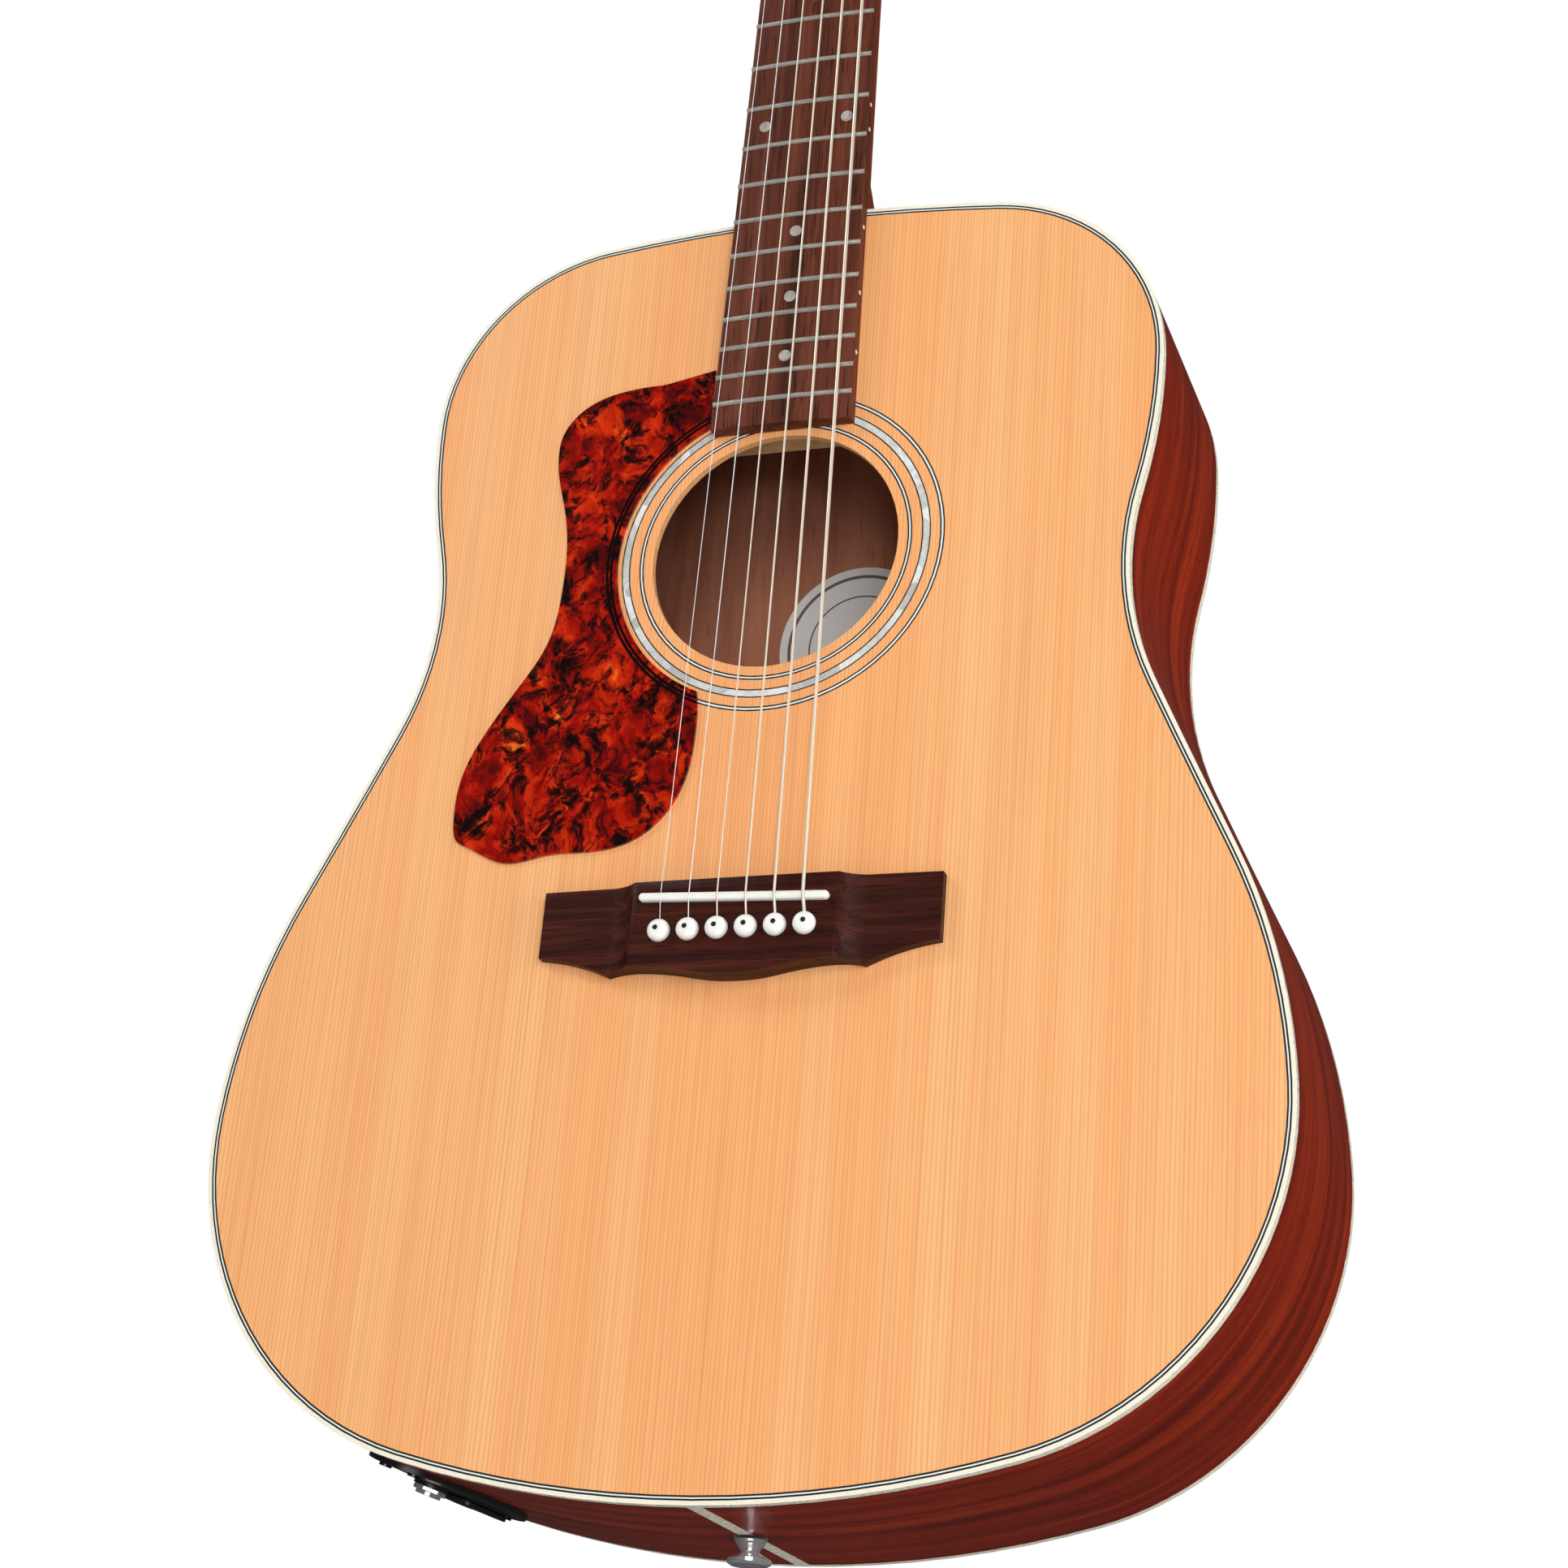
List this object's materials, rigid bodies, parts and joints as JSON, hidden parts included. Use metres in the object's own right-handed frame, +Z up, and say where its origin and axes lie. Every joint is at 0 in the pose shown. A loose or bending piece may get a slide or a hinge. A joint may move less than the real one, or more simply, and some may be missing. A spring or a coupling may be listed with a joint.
{
  "type": "acoustic guitar",
  "caption": "Left-handed dreadnought acoustic guitar with pickguard, undersaddle pickup, jack plate with battery drawer and geared tuners.",
  "frame": {"origin": "on the strap button's axis, where it meets the tail, half way through the body's depth", "axes": "+Z up the neck, the soundboard faces -Y, +X towards the bass side"},
  "size_m": [0.403, 0.1331, 1.0522],
  "materials": {
    "spruce": "gloss",
    "mahogany": "gloss",
    "inner_wood": "raw",
    "cream_binding": "gloss",
    "black_line": "gloss",
    "white_line": "gloss",
    "pearl": "pearlescent gloss",
    "paper": "matte",
    "tortoiseshell": "gloss",
    "rosewood": "satin",
    "neck_wood": "satin",
    "bone": "satin",
    "chrome": "polished",
    "nickel_silver": "polished",
    "steel_wire": "bright",
    "bronze_wire": "bright",
    "dark_steel": "satin",
    "black_plastic": "satin",
    "felt": "matte"
  },
  "bodies": {
    "guitar": {"soundboard": "spruce", "back_plate": "mahogany", "side_bass": "mahogany", "side_treble": "mahogany", "top_binding": "cream_binding", "back_binding": "cream_binding", "end_strip": "cream_binding", "black_lines": "black_line", "white_lines": "white_line", "pearl_ring": "pearl", "label": "paper", "neck_block": "inner_wood", "tail_block": "inner_wood", "top_linings": "inner_wood", "back_linings": "inner_wood", "x_brace_bass": "inner_wood", "x_brace_treble": "inner_wood", "transverse_brace": "inner_wood", "tone_bars": "inner_wood", "bridge_plate": "inner_wood", "pickguard": "tortoiseshell", "bridge": "rosewood", "saddle": "bone", "undersaddle_pickup": "dark_steel", "bridge_pins": "bone", "neck": "neck_wood", "fingerboard": "rosewood", "frets": "nickel_silver", "position_dots": "pearl", "nut": "bone", "truss_rod": "dark_steel", "truss_rod_cover": "black_plastic", "headstock_veneer": "rosewood", "neck_bolts": "dark_steel", "plain_strings": "steel_wire", "wound_strings": "bronze_wire", "strap_button": "chrome", "strap_screw": "chrome", "strap_washer": "felt", "jack_plate": "black_plastic", "output_jack": "chrome", "jack_nut": "chrome", "tuner_housings": "chrome", "tuner_bushings": "chrome", "small_screws": "dark_steel"},
    "post_1": {"tuner_post_1": "chrome"},
    "key_1": {"tuner_key_1": "chrome"},
    "post_2": {"tuner_post_2": "chrome"},
    "key_2": {"tuner_key_2": "chrome"},
    "post_3": {"tuner_post_3": "chrome"},
    "key_3": {"tuner_key_3": "chrome"},
    "post_4": {"tuner_post_4": "chrome"},
    "key_4": {"tuner_key_4": "chrome"},
    "post_5": {"tuner_post_5": "chrome"},
    "key_5": {"tuner_key_5": "chrome"},
    "post_6": {"tuner_post_6": "chrome"},
    "key_6": {"tuner_key_6": "chrome"},
    "drawer": {"battery_drawer": "black_plastic", "battery": "black_plastic"}
  },
  "joints": [
    {"name": "key_1_turn", "type": "hinge", "parent": "guitar", "child": "key_1", "pos_m": [-0.021, -0.02962, 0.90132], "axis": [1, 0, 0], "continuous": true},
    {"name": "post_1_turn", "type": "hinge", "parent": "guitar", "child": "post_1", "pos_m": [-0.021, -0.02776, 0.90879], "axis": [0, -0.9703, 0.2419], "continuous": true},
    {"name": "key_2_turn", "type": "hinge", "parent": "guitar", "child": "key_2", "pos_m": [-0.021, -0.01995, 0.94013], "axis": [1, 0, 0], "continuous": true},
    {"name": "post_2_turn", "type": "hinge", "parent": "guitar", "child": "post_2", "pos_m": [-0.021, -0.01808, 0.9476], "axis": [0, -0.9703, 0.2419], "continuous": true},
    {"name": "key_3_turn", "type": "hinge", "parent": "guitar", "child": "key_3", "pos_m": [-0.021, -0.01027, 0.97894], "axis": [1, 0, 0], "continuous": true},
    {"name": "post_3_turn", "type": "hinge", "parent": "guitar", "child": "post_3", "pos_m": [-0.021, -0.00841, 0.98642], "axis": [0, -0.9703, 0.2419], "continuous": true},
    {"name": "key_4_turn", "type": "hinge", "parent": "guitar", "child": "key_4", "pos_m": [0.021, -0.01027, 0.97894], "axis": [1, 0, 0], "continuous": true},
    {"name": "post_4_turn", "type": "hinge", "parent": "guitar", "child": "post_4", "pos_m": [0.021, -0.00841, 0.98642], "axis": [0, -0.9703, 0.2419], "continuous": true},
    {"name": "key_5_turn", "type": "hinge", "parent": "guitar", "child": "key_5", "pos_m": [0.021, -0.01995, 0.94013], "axis": [1, 0, 0], "continuous": true},
    {"name": "post_5_turn", "type": "hinge", "parent": "guitar", "child": "post_5", "pos_m": [0.021, -0.01808, 0.9476], "axis": [0, -0.9703, 0.2419], "continuous": true},
    {"name": "key_6_turn", "type": "hinge", "parent": "guitar", "child": "key_6", "pos_m": [0.021, -0.02962, 0.90132], "axis": [1, 0, 0], "continuous": true},
    {"name": "post_6_turn", "type": "hinge", "parent": "guitar", "child": "post_6", "pos_m": [0.021, -0.02776, 0.90879], "axis": [0, -0.9703, 0.2419], "continuous": true},
    {"name": "drawer_slide", "type": "slide", "parent": "guitar", "child": "drawer", "axis": [-0.3124, 0, -0.9499], "range_m": [0, 0.045]}
  ],
  "couplings": [
    {"joint": "post_1_turn", "follows": "key_1_turn", "ratio": -0.066667},
    {"joint": "post_2_turn", "follows": "key_2_turn", "ratio": -0.066667},
    {"joint": "post_3_turn", "follows": "key_3_turn", "ratio": -0.066667},
    {"joint": "post_4_turn", "follows": "key_4_turn", "ratio": 0.066667},
    {"joint": "post_5_turn", "follows": "key_5_turn", "ratio": 0.066667},
    {"joint": "post_6_turn", "follows": "key_6_turn", "ratio": 0.066667}
  ]
}
